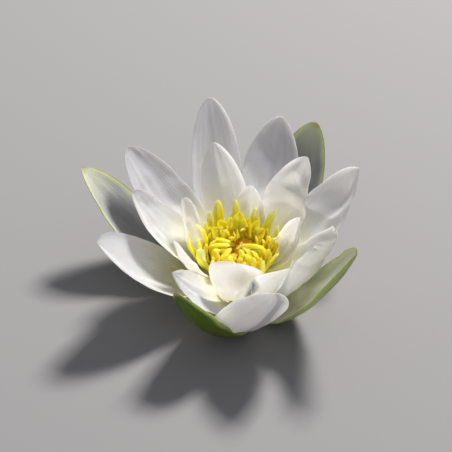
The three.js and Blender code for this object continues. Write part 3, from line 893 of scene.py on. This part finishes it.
# Each ring's kind, the sizes its stamens share, and each stamen's place.
YOUNG_STAMENS = {
    "pale": ("outer", {}, [
        (187, 17.6, 27.4, {"Width": 6.0, "Finger": 0.2, "End Rise": 96}),
        (216, 15.2, 22.0, {"Width": 5.0, "Finger": 0.3}),
        (56, 13.0, 23.8, {"Width": 4.6, "Finger": 0.5}),
        (348, 14.6, 22.0, {"Width": 4.6, "Finger": 0.3}),
    ]),
    "wall": ("middle", {}, ring_places("middle", 13, 0.1, 12.0, 21.6, 1.2)),
    "arch": ("inner", {}, ring_places("inner", 9, 0.3, 6.6, 20.6, 0.9)),
    "back": ("middle", BACK_BLADE, [
        (32, 11.0, 22.4, {"Lean": 12}),
        (52, 11.8, 23.6, {}),
        (70, 11.0, 24.0, {"Lean": -10}),
        (88, 12.2, 25.4, {"Width": 7.4}),
        (106, 11.2, 24.2, {"Lean": 12}),
        (126, 11.8, 23.6, {}),
        (146, 11.2, 22.8, {"Lean": -12}),
        (44, 8.8, 20.8, {"Width": 5.4}),
        (66, 8.2, 21.2, {"Width": 6.0}),
        (82, 8.8, 22.2, {"Lean": 14}),
        (100, 8.2, 21.4, {"Width": 5.8}),
        (122, 8.8, 21.8, {"Lean": -14}),
        (138, 8.2, 20.8, {"Width": 5.4}),
    ]),
    "tuft": ("inner", {}, [
        (348, 0.9, 19.8, {"Seat Azimuth": 338, "Start Pull": 0.9, "Roll": 20}),
        (315, 2.4, 19.6, {"Seat Azimuth": 306, "Roll": 30}),
        (283, 1.8, 19.2, {"Seat Azimuth": 284, "Width": 3.2, "Roll": -40}),
        (226, 3.6, 20.6, {"Seat Azimuth": 236, "Width": 4.0, "End Rise": 165}),
        (196, 3.0, 20.4, {"Seat Azimuth": 188, "Start Pull": 0.9}),
        (168, 1.2, 19.6, {"Seat Azimuth": 160, "Roll": 30}),
    ]),
    "curl": ("inner", CURLED_BLADE, [
        (98, 2.4, 25.2, {"Seat Azimuth": 100}),
        (122, 3.4, 23.8, {"Seat Azimuth": 128, "End Rise": 40}),
        (76, 3.6, 23.6, {"Seat Azimuth": 72, "End Rise": 150}),
    ]),
}
YOUNG_FIRST_SEED = 300
YOUNG_SEED_STEP = 3.3
for ring_name, (kind, shared, places) in YOUNG_STAMENS.items():
    finish = deep_finish if ring_name == "back" else None
    for i, (azimuth, reach, height, own) in enumerate(places):
        place = (azimuth, reach, height, {**shared, **own})
        seed = YOUNG_FIRST_SEED + i * YOUNG_SEED_STEP
        grow_stamen(f"stamen_{ring_name}_{i + 1:02d}", kind, place, seed, finish)

# ---------- Heart ----------
# The ovary and the receptacle grown into one fleshy cup. It is yellowish green and ringed with
# low scales where the blades join it.
HEART_GREEN = colour(0.36, 0.4, 0.08)
HEART_YELLOW = colour(0.66, 0.52, 0.08)
HEART_RINGS = 96
HEART_SIDES = 144
# The scales cover the heart's side between two heights. They leave its flat top bare.
SCALES_FROM = 3.0
SCALES_TO = 13.0
FLAT_TOP_RADIUS = 5.0
SCALE_RINGS = 6.0
SCALES_ROUND = 17
SCALE_LIFT = 0.22


def make_heart_finish():
    """Green at the heart's foot and yellower further up."""
    finish, tree, skin, place = new_finish("heart_skin")
    height = place.split()[2]
    patches = blotches(tree, place, 260.0, 3.0)
    climb = (height / MILLIMETRE + (patches - 0.5) * 6.0).eased(3.0, 12.0)
    raise_skin(tree, skin, blotches(tree, place, 1800.0, 3.0), 0.2)
    dress(tree, skin, {
        "Base Color": tinted(tree, climb, HEART_GREEN, HEART_YELLOW),
        "Roughness": between(0.4, 0.6, patches),
        "Subsurface Weight": 0.25,
        "Subsurface Radius": (1.0, 0.8, 0.2),
        "Subsurface Scale": 1.2 * MILLIMETRE,
    })
    return finish


def profile_ring(profile, share):
    """Radius and height a share of the way along a profile of (radius, height) pairs."""
    lengths = [math.dist(a, b) for a, b in zip(profile, profile[1:])]
    left = share * sum(lengths)
    for (start, end), length in zip(zip(profile, profile[1:]), lengths):
        if left <= length or end == profile[-1]:
            part = min(1.0, left / length)
            return tuple(a + (b - a) * part for a, b in zip(start, end))
        left -= length


def turn_piece(name, profile, rings, sides, carve, finish):
    """A closed piece turned about the bloom's axis from its bottom middle to its top middle.

    carve takes a radius, a height and a turn, and gives back the radius and height to use.
    """
    grid = []
    for i in range(1, rings):
        radius, height = profile_ring(profile, i / rings)
        for j in range(sides):
            turn = 2 * math.pi * j / sides
            ring_radius, ring_height = carve(radius, height, turn)
            grid.append((ring_radius * math.cos(turn), ring_radius * math.sin(turn), ring_height))
    bottom = (0.0, 0.0, carve(0.0, profile[0][1], 0.0)[1])
    top = (0.0, 0.0, carve(0.0, profile[-1][1], 0.0)[1])
    places = [tuple(beside_axis(p)) for p in [bottom, *grid, top]]
    last = len(places) - 1
    faces = []
    for j in range(sides):
        k = (j + 1) % sides
        faces.append((0, 1 + k, 1 + j))
        for i in range(rings - 2):
            low, high = 1 + i * sides, 1 + (i + 1) * sides
            faces.append((low + j, low + k, high + k, high + j))
        faces.append((last, 1 + (rings - 2) * sides + j, 1 + (rings - 2) * sides + k))
    mesh = bpy.data.meshes.new(name)
    mesh.from_pydata(places, [], faces)
    mesh.shade_smooth()
    mesh.materials.append(finish)
    return add_object(name, mesh)


def scaly(radius, height, turn):
    """Low scales in staggered rings on the heart's side."""
    climb = (height - SCALES_FROM) / (SCALES_TO - SCALES_FROM)
    if radius < FLAT_TOP_RADIUS or climb < 0 or climb > 1:
        return radius, height
    ring = climb * SCALE_RINGS
    shift = math.pi * (math.floor(ring) % 2) / SCALES_ROUND
    bulge = math.sin(math.pi * (ring % 1)) * abs(math.cos((turn + shift) * SCALES_ROUND / 2))
    return radius + SCALE_LIFT * (bulge - 0.5), height


# The stigma above the heart and the stalk below it each leave a thin seam.
SEAM = 0.3
heart_top = HEART_PROFILE[-1][0]
heart_side = [(radius, height) for height, radius in HEART_PROFILE]
heart_outline = [(0.0, HEART_PROFILE[0][0]), *heart_side, (0.0, heart_top)]
heart_finish = make_heart_finish()
heart = turn_piece("heart_cup", heart_outline, HEART_RINGS, HEART_SIDES, scaly, heart_finish)
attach(heart, "root")
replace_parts(heart, "heart")

# ---------- Stigma ----------
# The dish on top of the heart: wet rays that run from its low boss to its rim, where each ends
# in a short lobe. It is deep gold and freckled with pollen.
STIGMA_GOLD = colour(0.88, 0.6, 0.006)
STIGMA_RUST = colour(0.42, 0.2, 0.004)
STIGMA_POLLEN = colour(0.8, 0.66, 0.03)
STIGMA_RINGS = 90
STIGMA_SIDES = 168
STIGMA_RAYS = 14
STIGMA_FOOT = heart_top + SEAM
# The rays start near the boss's middle and are at their full height a little further out. The
# furrows between them are sunk. A lobe is a share of the rim's radius.
RAY_LOWEST = STIGMA_FOOT + 1.25
RAY_START = 0.4
RAY_FULL = 2.5
RAY_HEIGHT = 0.5
FURROW_DEPTH = 0.2
LOBE = 0.06
# The dish's radius, and its height above its foot.
DISH = [
    (0.0, 0.0), (5.8, 0.0), (6.8, 2.0), (6.4, 2.5), (4.8, 1.72), (1.7, 1.3), (1.3, 2.5),
    (0.9, 2.9), (0.0, 3.0),
]


def make_stigma_finish():
    """Wet and golden, with rusty patches and specks of pollen."""
    finish, tree, skin, place = new_finish("stigma_skin")
    patches = blotches(tree, place, 700.0, 3.0)
    deep = blotches(tree, place, 1600.0, 3.0)
    tone = tinted(tree, patches.eased(0.45, 0.7), STIGMA_GOLD, STIGMA_RUST)
    tone = tinted(tree, deep.eased(0.6, 0.72), tone, STIGMA_POLLEN)
    raise_skin(tree, skin, deep, 0.4)
    dress(tree, skin, {
        "Base Color": tone,
        "Roughness": between(0.15, 0.5, patches),
        "Coat Weight": 0.15,
        "Coat Roughness": 0.12,
    })
    return finish


def rayed(radius, height, turn):
    """Rounded rays on the dish's upper face, and lobes round its rim."""
    if height < RAY_LOWEST or radius < RAY_START:
        return radius, height
    ray = 0.5 + 0.5 * math.cos(turn * STIGMA_RAYS)
    rise = min(1.0, radius / RAY_FULL)
    lift = (RAY_HEIGHT * ray ** 0.6 - FURROW_DEPTH) * rise
    return radius * (1 + LOBE * ray * rise), height + lift


stigma_finish = make_stigma_finish()
dish_outline = [(radius, STIGMA_FOOT + height) for radius, height in DISH]
stigma = turn_piece("stigma_dish", dish_outline, STIGMA_RINGS, STIGMA_SIDES, rayed, stigma_finish)
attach(stigma, "root")
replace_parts(stigma, "stigma")

# ---------- Stalk ----------
# A stub of the spongy stalk, cut square just under the heart. Its cut face shows four wide air
# canals round the middle and a ring of narrow ones.
STALK_SKIN = colour(0.26, 0.3, 0.06)
STALK_PITH = colour(0.55, 0.56, 0.3)
STALK_RINGS = 110
STALK_SIDES = 160
STALK_TOP = HEART_PROFILE[0][0] - SEAM
STALK_OUTLINE = [(0.0, 0.0), (3.1, 0.0), (3.3, 0.25), (3.3, STALK_TOP), (0.0, STALK_TOP)]
CUT_FACE_TOP = 0.01
CANAL_DEPTH = 1.0
CANAL_WALL = 0.12
# Each ring of canals: how many, how far out, and how wide across.
CANALS = [(4, 1.25, 1.15), (12, 2.45, 0.5)]


def make_stalk_finish():
    """Green skin with paler fibres, and pale pith on the cut face."""
    finish, tree, skin, place = new_finish("stalk_skin")
    height = place.split()[2]
    fibres = blotches(tree, place, 900.0, 3.0)
    pith = 1.0 - (height / MILLIMETRE).eased(0.05, 0.2)
    tone = tinted(tree, fibres.eased(0.35, 0.7) * 0.5, STALK_SKIN, STALK_PITH)
    raise_skin(tree, skin, fibres, 0.25)
    dress(tree, skin, {
        "Base Color": tinted(tree, pith, tone, STALK_PITH),
        "Roughness": between(0.4, 0.7, fibres),
    })
    return finish


def holed(radius, height, turn):
    """Pits in the cut face where the air canals open."""
    if height > CUT_FACE_TOP:
        return radius, height
    for count, out, wide in CANALS:
        for i in range(count):
            bearing = 2 * math.pi * (i + 0.5) / count
            apart = math.hypot(
                radius * math.cos(turn) - out * math.cos(bearing),
                radius * math.sin(turn) - out * math.sin(bearing),
            )
            if apart < wide / 2:
                return radius, CANAL_DEPTH * min(1.0, (wide / 2 - apart) / CANAL_WALL)
    return radius, height


stalk_finish = make_stalk_finish()
stalk = turn_piece("stalk_stub", STALK_OUTLINE, STALK_RINGS, STALK_SIDES, holed, stalk_finish)
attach(stalk, "root")
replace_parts(stalk, "stalk")

# ---------- Floor and light ----------
# A plain pale floor, one large soft light behind the bloom's right shoulder, and an even fill.
FLOOR_HALF = 4.0
FLOOR_GREY = colour(0.34, 0.335, 0.335)
STUDIO_TONE = colour(0.9, 0.9, 1.0)
STUDIO_STRENGTH = 0.26
LIGHT_AIM = (0, 0, 20)

floor_mesh = bpy.data.meshes.new("floor")
corners = [(x * FLOOR_HALF, y * FLOOR_HALF, 0.0) for x, y in ((-1, -1), (1, -1), (1, 1), (-1, 1))]
floor_mesh.from_pydata(corners, [], [(0, 1, 2, 3)])
floor = add_object("floor", floor_mesh)
floor_finish = bpy.data.materials.new("floor_paper")
floor_finish.use_nodes = True
floor_tree = floor_finish.node_tree
floor_skin = floor_tree.nodes["Principled BSDF"]
dress(floor_tree, floor_skin, {"Base Color": FLOOR_GREY, "Roughness": 0.9})
floor_mesh.materials.append(floor_finish)

world = bpy.data.worlds.new("studio")
world.use_nodes = True
surroundings = world.node_tree.nodes["Background"]
dress(world.node_tree, surroundings, {"Color": STUDIO_TONE, "Strength": STUDIO_STRENGTH})
bpy.context.scene.world = world


def add_soft_light(name, azimuth, rise, distance, size, power, tone):
    """A square area light aimed at the middle of the bloom, distance and size in metres."""
    lamp = bpy.data.lights.new(name, "AREA")
    lamp.size = size
    lamp.energy = power
    lamp.color = tone
    light = add_object(name, lamp)
    turn, lift = math.radians(azimuth), math.radians(rise)
    heading = Vector((math.cos(turn) * math.cos(lift), math.sin(turn) * math.cos(lift), math.sin(lift)))
    light.location = beside_axis(LIGHT_AIM) + heading * distance
    light.rotation_euler = heading.to_track_quat("Z", "Y").to_euler()


add_soft_light(
    "key", azimuth=58, rise=53, distance=1.2, size=0.26, power=18.5, tone=(1.0, 0.975, 0.95)
)
add_soft_light(
    "fill", azimuth=250, rise=55, distance=1.4, size=1.2, power=0.9, tone=(0.95, 0.95, 1.0)
)
bpy.context.scene.view_settings.view_transform = "Standard"
